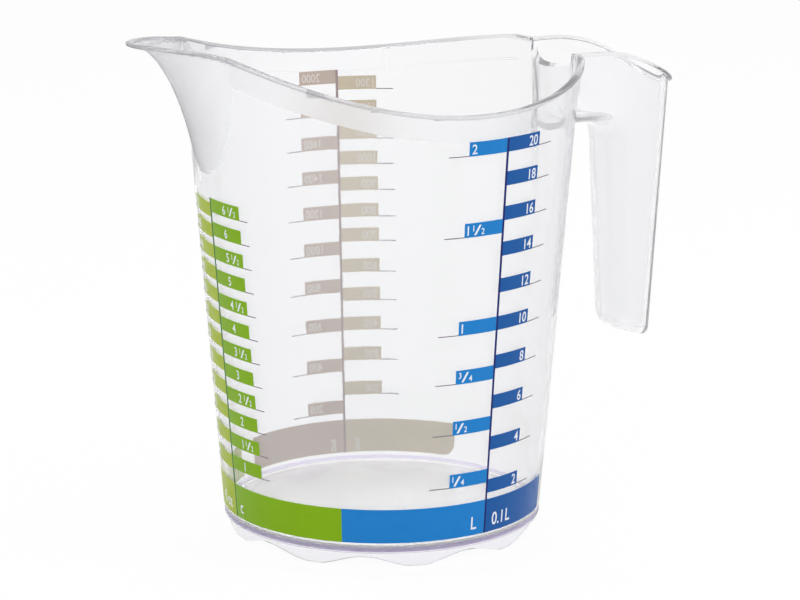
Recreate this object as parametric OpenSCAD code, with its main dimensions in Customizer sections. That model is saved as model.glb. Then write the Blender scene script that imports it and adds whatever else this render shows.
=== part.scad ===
// Two litre measuring jug in clear plastic with six printed scales.
// +X runs from the jug's axis to the handle, -X to the spout, +Z is up.
// The origin lies on the table, under the middle of the jug's overall length.

/* [Body] */
// Outer radius at the underside of the floor
base_r = 60.9; // [56:0.1:64]
// Outward lean of the wall, in degrees
wall_lean = 4.59; // [4:0.01:5.2]
// Thickness of the moulded wall
wall = 2; // [1.6:0.1:2.4]
// Thickness of the floor
floor_t = 2.1; // [1.6:0.1:3]
// Radius of the corner where the wall meets the floor inside
floor_corner_r = 3; // [1:0.1:6]

/* [Feet] */
// Height of the lobed skirt under the floor
foot_h = 6; // [5:0.1:8]
// Number of lobes round the skirt
foot_count = 9; // [6:1:12]
// Height of the hollow between two lobes
foot_hollow = 4; // [2:0.1:4.5]
// Inward lean of the skirt over its whole height
foot_draft = 1.8; // [0.5:0.1:3]

/* [Rim] */
// Height of the lowest point of the rim
rim_low = 173.2; // [170:0.1:176]
// Distance of that point from the jug's axis, towards the handle
rim_low_x = 11; // [6:0.5:16]
// Radius of the rim's sweep, seen from the side
rim_sweep_r = 199; // [180:1:230]
// Height of the rolled bead
bead_h = 1.6; // [1:0.1:2.4]
// How far the bead stands out from the wall
bead_out = 1.5; // [0.8:0.1:2]
// Height of the thicker collar of the body's wall under the rim
collar_h = 9.5; // [6:0.1:12]
// How far the collar stands out from the wall
collar_out = 0.5; // [0.3:0.05:0.8]

/* [Spout] */
// Distance of the spout's tip from the jug's axis
spout_reach = 101.4; // [96:0.1:106]
// Height of the spout's tip
spout_top = 195; // [191:0.1:199]
// Height where the spout leaves the wall
spout_low = 142; // [130:0.5:150]
// Half of the angle that the spout takes at the rim
spout_angle = 25.5; // [20:0.5:30]

/* [Handle] */
// Distance of the handle's outer face from the axis, at the rim
handle_reach = 117.6; // [113:0.1:122]
// The same distance at the bottom of the handle
handle_foot_reach = 111.5; // [108:0.1:114]
// Distance of the handle's inner face from the axis, at the rim
grip_in = 89.7; // [87:0.1:92]
// The same distance at the bottom of the handle
grip_foot_in = 94.8; // [93:0.1:97]
// Half of the handle's width at the rim
handle_half_w = 20.4; // [18:0.1:22]
// Half of the handle's width at the bottom
handle_foot_half_w = 12.3; // [10:0.1:14]
// Height of the handle's lowest point
handle_low = 63.6; // [55:0.1:75]
// Height of the flat start of the handle's rim
handle_top = 182; // [180:0.1:184]
// Radius of the handle's drooping rim, seen from the side
handle_droop_r = 50; // [46:0.5:60]
// Distance from the axis where the droop starts
handle_droop_x = 81; // [76:0.5:86]
// Height of the arch over the finger gap
gap_top = 152.5; // [146:0.1:156]
// Radius of the arch's corners
gap_corner_r = 8.5; // [7:0.1:9]
// Distance from the axis to the middle of the dished wall behind the grip
dish_x = 69; // [68:0.1:70]
// Radius of the dished wall
dish_r = 36.6; // [34:0.1:40]
// Height of the sill between the jug and the hollow handle
sill_z = 174.6; // [171:0.1:176]

/* [Scales] */
// Height of the full mark, two litres
full_z = 158; // [150:0.5:162]
// Thickness of the printed ink
ink_t = 0.15; // [0.1:0.01:0.3]
// Height of one printed bar
bar_h = 5.4; // [4:0.1:6]
// Length of a bar of the litre and decilitre scales
measure_bar_len = 16.3; // [12:0.1:18]
// Length of the mark that runs on from such a bar
measure_tick_len = 8; // [4:0.1:9]
// Length of a bar of the cup and ounce scales
cup_bar_len = 19.9; // [15:0.1:22]
// Length of the mark that runs on from such a bar
cup_tick_len = 4.5; // [3:0.1:7]
// Length of a bar of the sugar and flour scales
baking_bar_len = 15.3; // [12:0.1:18]
// Length of the mark that runs on from such a bar
baking_tick_len = 6.8; // [4:0.1:9]
// Thickness of those marks
tick_h = 0.8; // [0.5:0.05:1.2]
// Width of the upright line between two scales
line_w = 1; // [0.6:0.1:2]
// Height of the printed band's lower edge
band_low = 10.1; // [9:0.1:12]
// Height of the printed band
band_h = 13.3; // [10:0.1:15]
// Height of the first mark of the cup scale
cup_low = 29.7; // [28:0.1:31]
// Distance between two marks of the cup scale
cup_step = 9.11; // [8.6:0.01:9.6]

/* [Hidden] */
$fn = 96;

// Shares of the moulding's forms
overlap_share = 0.5;
foot_flat_share = 0.07;
lip_pull_share = 0.37;
funnel_power = 4 / 3;
funnel_lift_share = 0.75;
funnel_width_power = 0.37;
funnel_root_share = 0.9;
funnel_crease_power = 1;
funnel_bell_power = 4;
funnel_flow_power = 2.5;
funnel_skin_share = 0.08;
grip_power = 2.5;
grip_close_share = 0.92;
hook_slope_share = 0.31;
hook_corner_share = 0.28;
hook_lift_share = 0.6;
soffit_lift_share = 0.65;
sill_slope_share = 0.667;
root_share = 0.85;

// Steps along the lofted forms
lip_steps = 8;
funnel_rows = 13;
funnel_cols = 9;
hook_cols = 6;
corner_steps = 4;
arch_steps = 7;
landing_angle = 160;
lobe_steps = 12;

// Places of the scales: angle of each upright line round the axis, from +X
measure_angle = -74.6;
cup_angle = -177.3;
baking_angle = 81.1;
measure_band_angle = 52.7;
decilitre_band_angle = 36.6;
cup_band_angle = 49.3;
baking_band_angle = 43;

// Marks of each scale, and how much of its unit the jug holds at the full mark. The marks for
// 1.5 litres of liquid and for 200 and 700 grams of flour are printed a little off their volume
litre_marks = [0.25, 0.5, 0.75, 1, 1.53, 2];
litre_full_count = 2;
decilitre_marks = [for (m = [2:2:20]) m];
decilitre_full_count = 20;
cup_mark_count = 12;
ounce_marks = [for (m = [8:4:52]) m];
ounce_full_count = 67.63;
sugar_marks = [for (m = [200:200:2000]) m];
sugar_full_count = 1985;
flour_marks = [190, 300, 400, 500, 600, 710, 800, 900, 1000, 1100, 1200, 1300];
flour_full_count = 1317;

taper = tan(wall_lean);
overlap = wall * overlap_share;
cut_h = spout_top + foot_h;
floor_top = foot_h + floor_t;
spout_rise = spout_top - bead_h - spout_low;
root_x = dish_x * root_share;
middle_x = (handle_reach - spout_reach) / 2;
body_span = 2 * (handle_reach + spout_reach);

// Outer radius of the jug's wall at height z
function wall_r(z) = base_r + taper * (z - foot_h);

// Blend between two numbers or points
function mix(a, b, share) = a + (b - a) * share;

// Point a share of the way along the curve from p to r that q pulls
function bend(p, q, r, share) = mix(mix(p, q, share), mix(q, r, share), share);

// The list from its last entry to its first
function reversed(row) = [for (i = [len(row) - 1:-1:0]) row[i]];

// Solid through a row of like outlines, closed by a zigzag of triangles at both ends
module loft(rings) {
    n = len(rings[0]);
    far = (len(rings) - 1) * n;
    sides = [for (k = [0:len(rings) - 2], i = [0:n - 1])
        let (a = k * n + i, b = k * n + (i + 1) % n)
            each [[a, b, a + n], [b, b + n, a + n]]];
    near_end = [for (i = [0:floor((n - 1) / 2) - 1])
        let (r = n - 1 - i, s = n - 2 - i)
            each concat([[i, r, i + 1]], i + 1 == s ? [] : [[i + 1, r, s]])];
    far_end = [for (f = near_end) [f[0] + far, f[2] + far, f[1] + far]];
    polyhedron(points = [for (ring = rings) each ring],
               faces = concat(sides, near_end, far_end), convexity = 6);
}

// Solid through a row of like outlines that returns to its first one
module loop_loft(rings) {
    n = len(rings[0]);
    m = len(rings);
    sides = [for (k = [0:m - 1], i = [0:n - 1])
        let (a = k * n + i, b = k * n + (i + 1) % n, step = ((k + 1) % m - k) * n)
            each [[a, b, a + step], [b, b + step, a + step]]];
    polyhedron(points = [for (ring = rings) each ring], faces = sides, convexity = 6);
}

// Height of the rim's sweep at distance x from the axis
function sweep_z(x) = rim_low + rim_sweep_r - sqrt(pow(rim_sweep_r, 2) - pow(x - rim_low_x, 2));

// Side view of all that lies under the rim, in X and Z: the spout's lip rises in a soft
// curve, the body's rim is one long sweep, and the handle's rim droops in an arc
module under_rim() {
    lip_start = [-dish_x, sweep_z(-dish_x)];
    lip_end = [-spout_reach, spout_top];
    lip_pull = [mix(lip_start[0], lip_end[0], lip_pull_share), spout_top - overlap];
    difference() {
        polygon(concat(
            [[-spout_reach - wall, 0], [-spout_reach - wall, spout_top]],
            [for (i = [lip_steps:-1:0]) bend(lip_start, lip_pull, lip_end, i / lip_steps)],
            [[rim_low_x, handle_top], [handle_reach + 2 * wall, handle_top],
             [handle_reach + 2 * wall, 0]]));
        intersection() {
            translate([rim_low_x, rim_low + rim_sweep_r]) circle(rim_sweep_r);
            translate([-dish_x, 0]) square([body_span, spout_top + rim_low]);
        }
        translate([handle_droop_x, handle_top - handle_droop_r]) difference() {
            square([handle_reach, handle_droop_r + wall]);
            circle(handle_droop_r);
        }
    }
}

// Side view drawn through the whole width of the jug
module side_solid() {
    rotate([90, 0, 0]) linear_extrude(height = body_span, center = true) children();
}

// Tapered round form of the body between two heights, its surface moved inwards by inset
module body_cone(low, high, inset) {
    translate([0, 0, low])
        cylinder(r1 = wall_r(low) - inset, r2 = wall_r(high) - inset, h = high - low);
}

// Upright post whose side dishes the body's wall behind the grip
module dish(r) {
    translate([dish_x + dish_r, 0, -overlap]) cylinder(r = r, h = cut_h);
}

// Space inside the body, with a rounded corner at the floor
module body_inside() {
    corner_x = wall_r(floor_top) - wall - floor_corner_r;
    difference() {
        rotate_extrude() polygon(concat(
            [[0, floor_top]],
            [for (i = [0:corner_steps * 2])
                let (a = -90 + (90 - wall_lean) * i / corner_steps / 2)
                    [corner_x, floor_top + floor_corner_r] + floor_corner_r * [cos(a), sin(a)]],
            [[wall_r(cut_h) - wall, cut_h], [0, cut_h]]));
        dish(dish_r + wall);
    }
}

// The spout is a funnel whose ridge leaves the wall at spout_low, leans out ever faster and
// comes out level at the tip. Share of its height that is climbed at z
function funnel_share(z) = min(max((z - spout_low) / spout_rise, 0), 1);

// How far the ridge stands out from the wall
function funnel_out(z) = (spout_reach - bead_out - wall_r(spout_top - bead_h))
    * (1 - sqrt(1 - pow(funnel_share(z), funnel_power)));

// Half of the funnel's angle
function funnel_angle(z) = spout_angle * pow(funnel_share(z), funnel_width_power);

// Point of the funnel in plan: side runs from -1 to 1 over its width, and the plan changes
// from one creased curve at the bottom to a bell with flowing edges at the rim
function funnel_point(z, side) =
    let (bell = mix(funnel_crease_power, funnel_bell_power, pow(funnel_share(z), funnel_flow_power)),
         skin = wall * funnel_skin_share,
         r = wall_r(z) - skin + (funnel_out(z) + skin) * pow(1 - side * side, bell),
         a = side * funnel_angle(z))
        [-r * cos(a), r * sin(a)];

// The same point moved inwards by inset, square to the plan
function funnel_inset_point(z, side, inset) =
    let (step = 1 / funnel_cols / 4,
         run = funnel_point(z, min(side + step, 1)) - funnel_point(z, max(side - step, -1)))
        funnel_point(z, side) + inset / norm(run) * [run[1], -run[0]];

// Outline of the funnel at height z, from its ridge round through the inside of the body
function funnel_ring(z, inset) =
    let (low = z - funnel_lift_share * inset, a = funnel_angle(low) * funnel_root_share,
         root = [wall_r(z) * funnel_root_share * cos(a), wall_r(z) * funnel_root_share * sin(a)])
        [for (p = concat(
            [for (i = [0:funnel_cols]) funnel_inset_point(low, i / funnel_cols, inset)],
            [[-root[0], root[1]], [-root[0], -root[1]]],
            [for (i = [-funnel_cols:-1]) funnel_inset_point(low, i / funnel_cols, inset)]))
                [p[0], p[1], z]];

module funnel(inset) {
    first = spout_low + funnel_lift_share * inset;
    loft(concat(
        [for (k = [1:funnel_rows])
            funnel_ring(first + spout_rise * (1 - pow(1 - k / funnel_rows, 2)), inset)],
        [funnel_ring(cut_h, inset)]));
}

// Inner and outer face of the grip and half of its width, at height z
function grip_share(z) = (z - handle_low) / (handle_top - handle_low);
function inner_face(z) = mix(grip_foot_in, grip_in, grip_share(z));
function outer_face(z) = mix(handle_foot_reach, handle_reach, grip_share(z));
function half_width(z) = mix(handle_foot_half_w, handle_half_w, grip_share(z));

// The handle is a hook in side view. Its outline closes on its own middle line towards the
// flanks: close is 0 at the middle of the width and near 1 at a flank
function face_x(z, side, inset, close) =
    mix((side < 0 ? inner_face(z) + inset : outer_face(z) - inset),
        (inner_face(z) + outer_face(z)) / 2, close);

// Bottom corner of the grip, from its lower side up to its inner or outer face
function grip_corner(side, inset, close) =
    let (floor_z = handle_low + inset + close * handle_foot_half_w * hook_lift_share,
         inner_x = face_x(floor_z, -1, inset, close), outer_x = face_x(floor_z, 1, inset, close),
         r = (outer_x - inner_x) * hook_corner_share, x = side < 0 ? inner_x : outer_x,
         z = floor_z + (side < 0 ? hook_slope_share * (outer_x - inner_x) : 0))
        [for (i = [0:corner_steps])
            bend([x - side * r, z + side * hook_slope_share * r], [x, z],
                 [face_x(z + r, side, inset, close), z + r], i / corner_steps)];

// Outline of the handle in side view: up the inner face, over the finger gap and into the
// body, then back over the top and down the outer face
function hook_outline(inset, close) =
    let (spring = gap_top - gap_corner_r,
         lift = gap_corner_r * (1 + close * soffit_lift_share) + inset,
         arch_x = inner_face(spring) - gap_corner_r,
         landing_x = dish_x + gap_corner_r - overlap * 2,
         grip_x = face_x(spring, -1, inset, close),
         inner_side = concat(
            grip_corner(-1, inset, close),
            [for (i = [0:arch_steps]) let (a = 90 * i / arch_steps)
                [arch_x + (grip_x - arch_x) * cos(a), spring + lift * sin(a)]],
            [for (i = [0:corner_steps]) let (a = mix(90, landing_angle, i / corner_steps))
                [landing_x + (gap_corner_r + inset) * cos(a), spring + lift * sin(a)]],
            [[root_x, spring + lift * sin(landing_angle)]]),
         outer_side = concat(
            grip_corner(1, inset, close),
            [for (i = [0:arch_steps]) let (z = mix(spring, cut_h, i / arch_steps))
                [face_x(z, 1, inset, close), z]],
            [for (i = [0:corner_steps]) [mix(arch_x, landing_x, i / corner_steps), cut_h]],
            [[root_x, cut_h]]))
        concat(inner_side, reversed(outer_side));

module hook(inset) {
    loft([for (k = [hook_cols:-1:-hook_cols])
        let (side = sin(90 * k / hook_cols),
             close = grip_close_share * (1 - pow(1 - pow(abs(side), grip_power), 1 / grip_power)))
            [for (p = hook_outline(inset, close))
                [p[0], (half_width(p[1]) - inset) * side, p[1]]]]);
}

// Everything outside: the dished body, the spout and the handle, with their surface moved
// inwards by inset
module outside(low, inset) {
    difference() {
        body_cone(low, cut_h, inset);
        dish(dish_r + inset);
    }
    funnel(inset);
    hook(inset);
}

// Lobed skirt: its lower edge is a wave with a small flat under each lobe
module skirt() {
    stations = foot_count * lobe_steps;
    top = foot_h + floor_t * overlap_share;
    loop_loft([for (k = [0:stations - 1])
        let (a = 180 - 360 * k / stations,
             wave = (1 - cos(360 * k / lobe_steps)) / 2,
             low = max(foot_hollow * ((1 + foot_flat_share) * wave - foot_flat_share), 0),
             r = base_r - overlap_share * overlap, inward = foot_draft * (1 - low / foot_h))
            [for (p = [[r, top], [r - inward, low], [r - inward - wall, low], [r - wall, top]])
                [p[0] * cos(a), p[0] * sin(a), p[1]]]]);
}

// What the children have above the rim's line lowered by depth
module near_rim(depth) {
    intersection() {
        children();
        side_solid() difference() {
            translate([-body_span / 2, rim_low / 2]) square([body_span, rim_low]);
            translate([0, -depth]) under_rim();
        }
    }
}

module jug_shell() {
    color([0.92, 0.91, 0.95, 0.45]) translate([-middle_x, 0, 0]) difference() {
        union() {
            intersection() {
                union() {
                    outside(foot_h, 0);
                    near_rim(bead_h) outside(rim_low - bead_h - wall, -bead_out);
                    near_rim(collar_h) body_cone(rim_low - collar_h - wall, cut_h, -collar_out);
                }
                side_solid() under_rim();
            }
            skirt();
        }
        body_inside();
        funnel(wall);
        intersection() {
            hook(wall);
            dish(dish_r);
        }
        sill();
    }
}

// Cut that slopes the top of the wall between the jug and the hollow handle
module sill() {
    reach = cut_h - sill_z;
    rotate([90, 0, 0])
        linear_extrude(height = 2 * (handle_half_w - wall - overlap), center = true)
            polygon([[dish_x - wall - reach, sill_z - sill_slope_share * reach],
                     [dish_x - wall + reach / sill_slope_share, cut_h],
                     [dish_x - wall - reach, cut_h]]);
}

// Height at which the jug holds a share of its full mark
floor_r = wall_r(floor_top) - wall;
full_r = wall_r(full_z) - wall;
function level(share) =
    floor_top + (pow(mix(pow(floor_r, 3), pow(full_r, 3), share), 1 / 3) - floor_r) / taper;

// Heights of a scale's marks
function levels(marks, full_count) = [for (m = marks) level(m / full_count)];

// Angle that a length takes on the wall at height z
function arc_angle(length, z) = length / wall_r(z) * 180 / PI;

// Ring sector beside an upright line, between two angles from it. turn is 1 or -1, and
// profile() is the sector's section
module sector(line_angle, turn, from, to) {
    rotate([0, 0, line_angle + (turn > 0 ? from : -to)])
        rotate_extrude(angle = to - from) children();
}

// One printed scale: a coat of ink on the wall, from which windows are cut, so that bars, their
// marks, the printed band and, where has_line is true, the upright line are left
module scale_print(line_angle, turn, has_line, band_angle, bar_len, tick_len, heights) {
    edge = arc_angle(line_w / 2, full_z);
    past = band_angle + edge;
    top = max(heights) + bar_h;
    difference() {
        sector(line_angle, turn, has_line ? -edge : edge, band_angle)
            polygon([[wall_r(band_low), band_low], [wall_r(band_low) + ink_t, band_low],
                     [wall_r(top) + ink_t, top], [wall_r(top), top]]);
        for (i = [0:len(heights) - 1]) {
            z = heights[i];
            bar_end = edge + arc_angle(bar_len, z);
            tick_end = bar_end + arc_angle(tick_len, z);
            if (i + 1 < len(heights))
                window(line_angle, turn, has_line ? edge : 0, past, z + bar_h, heights[i + 1]);
            window(line_angle, turn, bar_end, past, z + tick_h, z + bar_h + tick_h);
            window(line_angle, turn, tick_end, past, z - tick_h, z + 2 * tick_h);
        }
        window(line_angle, turn, has_line ? edge : 0, past, band_low + band_h, heights[0]);
    }
}

// Cutter for a window in the ink, between two angles and two heights
module window(line_angle, turn, from, to, low, high) {
    sector(line_angle, turn, from, to)
        translate([wall_r(low) - wall, low]) square([2 * wall, high - low]);
}

module printed(tint) {
    color(tint) translate([-middle_x, 0, 0]) children();
}

module litre_scale_print() {
    printed([0.14, 0.46, 0.78])
        scale_print(measure_angle, -1, false, measure_band_angle, measure_bar_len,
                    measure_tick_len, levels(litre_marks, litre_full_count));
}

module decilitre_scale_print() {
    printed([0.06, 0.28, 0.61])
        scale_print(measure_angle, 1, true, decilitre_band_angle, measure_bar_len,
                    measure_tick_len, levels(decilitre_marks, decilitre_full_count));
}

module cup_scale_print() {
    printed([0.51, 0.69, 0.12])
        scale_print(cup_angle, 1, true, cup_band_angle, cup_bar_len, cup_tick_len,
                    [for (k = [0:cup_mark_count - 1]) cup_low + k * cup_step]);
}

module ounce_scale_print() {
    printed([0.66, 0.75, 0.18])
        scale_print(cup_angle, -1, false, cup_band_angle, cup_bar_len, cup_tick_len,
                    levels(ounce_marks, ounce_full_count));
}

module sugar_scale_print() {
    printed([0.42, 0.3, 0.24])
        scale_print(baking_angle, 1, true, baking_band_angle, baking_bar_len, baking_tick_len,
                    levels(sugar_marks, sugar_full_count));
}

module flour_scale_print() {
    printed([0.66, 0.58, 0.42])
        scale_print(baking_angle, -1, false, baking_band_angle, baking_bar_len, baking_tick_len,
                    levels(flour_marks, flour_full_count));
}

jug_shell();
litre_scale_print();
decilitre_scale_print();
cup_scale_print();
ounce_scale_print();
sugar_scale_print();
flour_scale_print();
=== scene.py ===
"""Two litre measuring jug: clear moulding, printed scales, studio floor, lamps and camera."""
import math

import bmesh
import bpy
import numpy as np
from mathutils import Matrix, Vector


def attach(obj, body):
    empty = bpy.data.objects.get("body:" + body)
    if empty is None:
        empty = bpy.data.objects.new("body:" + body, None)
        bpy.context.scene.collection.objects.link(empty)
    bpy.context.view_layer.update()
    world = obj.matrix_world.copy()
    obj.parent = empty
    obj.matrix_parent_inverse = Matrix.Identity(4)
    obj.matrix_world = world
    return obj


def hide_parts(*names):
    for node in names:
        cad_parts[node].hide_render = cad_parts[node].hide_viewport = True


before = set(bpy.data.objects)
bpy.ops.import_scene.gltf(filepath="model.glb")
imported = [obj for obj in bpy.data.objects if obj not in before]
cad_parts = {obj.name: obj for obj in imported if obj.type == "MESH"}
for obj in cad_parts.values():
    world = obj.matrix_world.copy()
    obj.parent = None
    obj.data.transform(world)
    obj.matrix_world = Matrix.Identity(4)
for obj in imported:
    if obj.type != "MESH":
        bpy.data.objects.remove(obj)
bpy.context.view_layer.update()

MM = 0.001

# Sizes of the moulding in millimetres, the same as in the part's source. Heights start at the
# surface that the jug stands on, and distances at the jug's axis.
BASE_R, TAPER = 60.9, math.tan(math.radians(4.59))
WALL, FLOOR_T, FLOOR_CORNER_R = 2.0, 2.1, 3.0
FOOT_H, FOOT_COUNT, FOOT_HOLLOW, FOOT_DRAFT = 6.0, 9, 4.0, 1.8
RIM_LOW, RIM_LOW_X, RIM_SWEEP_R = 173.2, 11.0, 199.0
BEAD_H, BEAD_OUT, COLLAR_H, COLLAR_OUT = 1.6, 1.5, 9.5, 0.5
SPOUT_REACH, SPOUT_TOP, SPOUT_LOW, SPOUT_ANGLE = 101.4, 195.0, 142.0, math.radians(25.5)
HANDLE_REACH, HANDLE_FOOT_REACH = 117.6, 111.5
GRIP_IN, GRIP_FOOT_IN = 89.7, 94.8
HANDLE_HALF_W, HANDLE_FOOT_HALF_W = 20.4, 12.3
HANDLE_LOW, HANDLE_TOP, DROOP_R, DROOP_X = 63.6, 182.0, 50.0, 81.0
GAP_TOP, GAP_CORNER_R = 152.5, 8.5
DISH_X, DISH_R, SILL_Z, SILL_SLOPE = 69.0, 36.6, 174.6, 0.667

# Sizes of the print. The cup bars are a little shorter, and the fine marks thinner, than in the
# part's source.
FULL_Z, BAR_H, TICK_H, LINE_W = 158.0, 5.4, 0.35, 1.0
MEASURE_BAR, MEASURE_TICK, CUP_BAR, CUP_TICK = 16.3, 8.0, 19.2, 4.5
BAKING_BAR, BAKING_TICK = 15.3, 6.8
CUP_LOW, CUP_STEP = 29.7, 9.11
BAND_LOW, BAND_H = 10.1, 13.3

# Places that follow from the sizes, and the overlap of forms that are joined
MIDDLE_X = (HANDLE_REACH - SPOUT_REACH) / 2
CUT_H = SPOUT_TOP + FOOT_H
FLOOR_TOP = FOOT_H + FLOOR_T
FLOOR_EDGE = (FOOT_H + 0.4, FLOOR_TOP + 0.3)
ROOT_X = DISH_X * 0.85
SPOUT_RISE = SPOUT_TOP - BEAD_H - SPOUT_LOW
OVERLAP = 1.0

# Section of the bead: half of its width and height, and how far its middle lies inside the rim
BEAD_REACH, BEAD_RISE, BEAD_INSET = 1.65, BEAD_H / 2, 0.25

# Shares and powers of the forms
LIP_PULL = 0.37
FUNNEL_SKIN, FUNNEL_LIFT, FUNNEL_ROOT = WALL * 0.08, 0.75, 0.9
FUNNEL_LEAN, FUNNEL_FLOW, FUNNEL_SPREAD, FUNNEL_CREASE, FUNNEL_BELL = 4 / 3, 2.5, 0.37, 1, 4
GRIP_POWER, GRIP_CLOSE = 2.5, 0.92
HOOK_SLOPE, HOOK_CORNER, HOOK_LIFT, ARCH_LIFT = 0.31, 0.28, 0.6, 0.65
LANDING_END = math.radians(160)
FOOT_FLAT = 0.07
BEAD_POWER = 0.75

# Steps along the forms
LIP_STEPS, SWEEP_STEPS, DROOP_STEPS = 60, 120, 60
ROUND_STEPS, POST_STEPS, SKIRT_STEPS, BEAD_STEPS = 288, 160, 540, 20
CONE_RINGS, INSIDE_RINGS, FLOOR_CORNER_STEPS = 12, 10, 14
FUNNEL_ROWS, FUNNEL_COLS = 44, 34
HOOK_CORNER_STEPS, HOOK_ARCH_STEPS, HOOK_STATIONS = 12, 21, 22


def wall_r(z):
    """Outer radius of the tapered body: base radius plus taper times the height over the floor."""
    return BASE_R + TAPER * (np.asarray(z, float) - FOOT_H)


def mix(a, b, share):
    """The straight way from a to b, by a share of it."""
    return a + (b - a) * share


def bend(p, q, r, share):
    """Quadratic curve from p to r that q pulls."""
    return mix(mix(p, q, share), mix(q, r, share), share)


def sweep_z(x):
    """Rim of the body in side view: the lowest part of a large circle."""
    return RIM_LOW + RIM_SWEEP_R - np.sqrt(RIM_SWEEP_R ** 2 - (x - RIM_LOW_X) ** 2)


def lip_points():
    """Spout's lip in side view: a quadratic curve from the rim's sweep out to the level tip."""
    share = np.linspace(0, 1, LIP_STEPS)[:, None]
    start = np.array([-DISH_X, sweep_z(-DISH_X) + OVERLAP * 0.5])
    end = np.array([-SPOUT_REACH, SPOUT_TOP])
    pull = np.array([mix(start[0], end[0], LIP_PULL), SPOUT_TOP - OVERLAP])
    return bend(start, pull, end, share)


def top_z(x):
    """Height of the rim at distance x from the axis: over spout and body the lower of the lip and
    the sweep, level where the handle starts, and then the circle of its droop."""
    sweep_end, above_all = 150, 999
    x = np.asarray(x, float)
    lip = lip_points()[::-1]
    z = np.minimum(sweep_z(np.clip(x, -sweep_end, sweep_end)),
                   np.interp(x, lip[:, 0], lip[:, 1], right=above_all))
    droop = HANDLE_TOP - DROOP_R + np.sqrt(np.maximum(DROOP_R ** 2 - (x - DROOP_X) ** 2, 0))
    return np.where(x < DROOP_X, np.where(x > 0, np.minimum(z, HANDLE_TOP), z), droop)


# Meshes

def mesh_object(name, points, faces, middle_x=MIDDLE_X):
    """A mesh from points in millimetres round the jug's axis, moved to the frame, in metres."""
    points = (np.asarray(points, float) - [middle_x, 0, 0]) * MM
    mesh = bpy.data.meshes.new(name)
    mesh.from_pydata(points.tolist(), [], [list(map(int, f)) for f in faces])
    mesh.update()
    obj = bpy.data.objects.new(name, mesh)
    bpy.context.scene.collection.objects.link(obj)
    outward(obj)
    return obj


def outward(obj):
    """Turns the faces of a closed mesh to the outside."""
    bm = bmesh.new()
    bm.from_mesh(obj.data)
    bmesh.ops.recalc_face_normals(bm, faces=bm.faces)
    bm.to_mesh(obj.data)
    bm.free()


def grid_faces(rows, cols, loop_rows, loop_cols):
    """Quads of a grid of rows by cols points, closed round in either direction when asked."""
    i = np.arange(rows if loop_rows else rows - 1)[:, None]
    j = np.arange(cols if loop_cols else cols - 1)[None, :]
    i2, j2 = (i + 1) % rows, (j + 1) % cols
    corners = (i * cols + j, i * cols + j2, i2 * cols + j2, i2 * cols + j)
    return np.stack(corners, -1).reshape(-1, 4)


def lofted(name, rings):
    """Closed solid through a stack of rings: quads between neighbours, one face over each end."""
    rings = np.asarray(rings, float)
    rows, cols = rings.shape[:2]
    faces = [list(f) for f in grid_faces(rows, cols, False, True)]
    faces.append(list(range(cols))[::-1])
    faces.append([(rows - 1) * cols + k for k in range(cols)])
    return mesh_object(name, rings.reshape(-1, 3), faces)


def prism(name, outline, half_width):
    """Side-view outline in X and Z, drawn across the jug from -half_width to half_width."""
    outline = np.asarray(outline, float)
    rings = [np.column_stack([outline[:, 0], np.full(len(outline), y), outline[:, 1]])
             for y in (-half_width, half_width)]
    return lofted(name, rings)


def combined(target, tool, operation):
    """Boolean of two closed meshes, applied at once; the tool is used up."""
    modifier = target.modifiers.new("cut", "BOOLEAN")
    modifier.operation = operation
    modifier.solver = "MANIFOLD"
    modifier.object = tool
    bpy.context.view_layer.update()
    graph = bpy.context.evaluated_depsgraph_get()
    mesh = bpy.data.meshes.new_from_object(target.evaluated_get(graph))
    target.modifiers.clear()
    old = target.data
    target.data = mesh
    bpy.data.meshes.remove(old)
    bpy.data.objects.remove(tool)
    return target


# Forms of the moulding

def revolved(name, profile):
    """Solid of revolution about the jug's axis: each profile point (r, z) swept in a circle."""
    profile = np.asarray(profile, float)
    turn = np.linspace(0, 2 * math.pi, ROUND_STEPS, endpoint=False)
    r, z = profile[:, None, 0], profile[:, None, 1]
    return lofted(name, np.stack([r * np.cos(turn), r * np.sin(turn),
                                  np.repeat(z, ROUND_STEPS, 1)], -1))


def body_cone(name, low, high, inset):
    """Tapered body between two heights: circles of the wall's radius less the inset, with rings
    of their own at the edges of the floor."""
    z = np.linspace(low, high, CONE_RINGS)
    z = np.unique(np.concatenate([z, [e for e in FLOOR_EDGE if low < e < high]]))
    return revolved(name, np.column_stack([wall_r(z) - inset, z]))


def body_inside(name):
    """Inner space of the body: a flat floor, a quarter-round corner and the tapered wall."""
    lean = math.atan(TAPER)
    turn = np.linspace(-math.pi / 2, -lean, FLOOR_CORNER_STEPS)
    corner_x = wall_r(FLOOR_TOP) - WALL - FLOOR_CORNER_R
    corner = np.column_stack([corner_x + FLOOR_CORNER_R * np.cos(turn),
                              FLOOR_TOP + FLOOR_CORNER_R + FLOOR_CORNER_R * np.sin(turn)])
    z = np.linspace(FLOOR_TOP + FLOOR_CORNER_R + WALL, CUT_H, INSIDE_RINGS)
    return revolved(name, np.concatenate([corner, np.column_stack([wall_r(z) - WALL, z])]))


def post(name, radius):
    """Upright cylinder behind the grip whose side dishes the body's wall: one circle, drawn up."""
    turn = np.linspace(0, 2 * math.pi, POST_STEPS, endpoint=False)
    x, y = DISH_X + DISH_R + radius * np.cos(turn), radius * np.sin(turn)
    ends = (-OVERLAP, CUT_H + 3 * OVERLAP)
    return lofted(name, [np.column_stack([x, y, np.full(POST_STEPS, z)]) for z in ends])


def funnel_share(z):
    """How far up the spout a height is, from 0 at its bottom to 1 under the bead."""
    return np.clip((np.asarray(z, float) - SPOUT_LOW) / SPOUT_RISE, 0, 1)


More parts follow.
